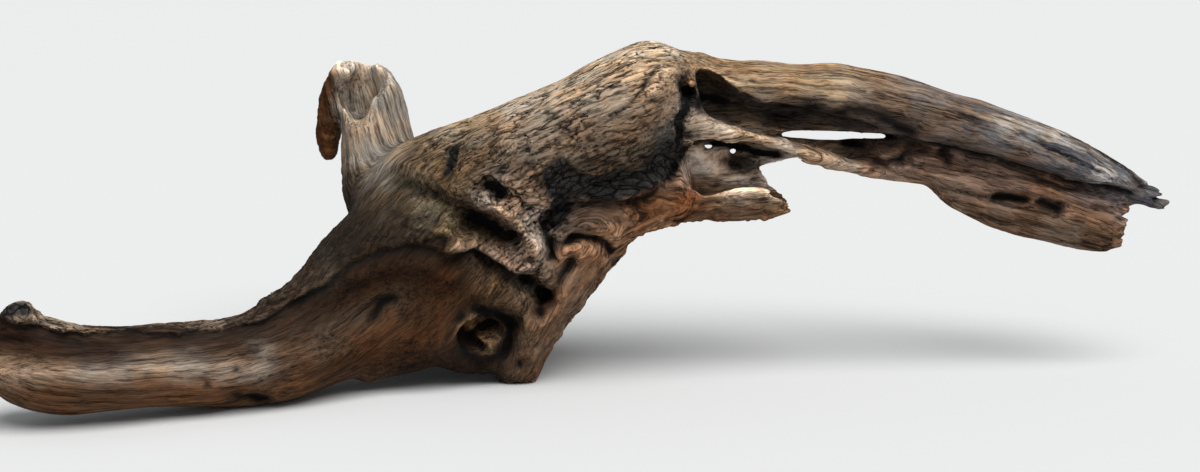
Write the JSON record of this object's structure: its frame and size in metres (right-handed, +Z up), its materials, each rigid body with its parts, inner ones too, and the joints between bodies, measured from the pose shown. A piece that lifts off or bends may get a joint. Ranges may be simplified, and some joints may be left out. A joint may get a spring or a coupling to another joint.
{
  "type": "driftwood",
  "caption": "Long weathered driftwood: a root arm, a gnarled charred crown with an upright broken branch, and the split remains of a hollow log.",
  "frame": {"origin": "bottom centre of the wood's own box, on the surface that its feet stand on", "axes": "+X along the length from the root arm to the hollow log's tip, +Y from the shown side to the hidden side, +Z up"},
  "size_m": [0.874, 0.3036, 0.2553],
  "materials": {
    "weathered_wood": "dry weathered wood: fissured brown bark, smooth grained hollows, silver grey and orange tan worn parts, black charred bands"
  },
  "bodies": {
    "root": {"driftwood": "weathered_wood"}
  },
  "joints": []
}
